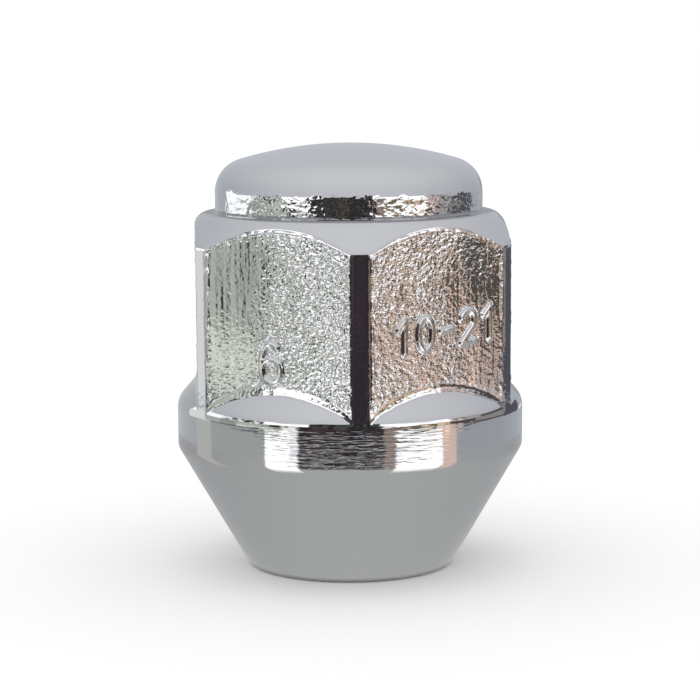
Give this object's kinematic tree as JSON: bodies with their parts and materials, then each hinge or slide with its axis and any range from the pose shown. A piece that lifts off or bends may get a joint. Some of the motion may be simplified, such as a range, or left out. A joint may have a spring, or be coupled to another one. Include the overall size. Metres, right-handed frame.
{
  "type": "lug nut",
  "caption": "Closed-end chrome lug nut: a low dome over hex flats, a bulge flange and a conical seat, screwed onto a wheel stud to clamp the wheel.",
  "frame": {"origin": "on the axis, in the plane of the end face at the mouth of the threaded hole", "axes": "+Z along the axis from the end face to the dome, +Y through a hex corner, +X through the middle of a flat"},
  "size_m": [0.0238, 0.0238, 0.0291],
  "materials": {
    "chrome_plate": "bright chrome plate on forged steel, smooth on dome, shoulder and seat, rough as forged on the flats"
  },
  "bodies": {
    "root": {"lug_nut": "chrome_plate"}
  },
  "joints": []
}
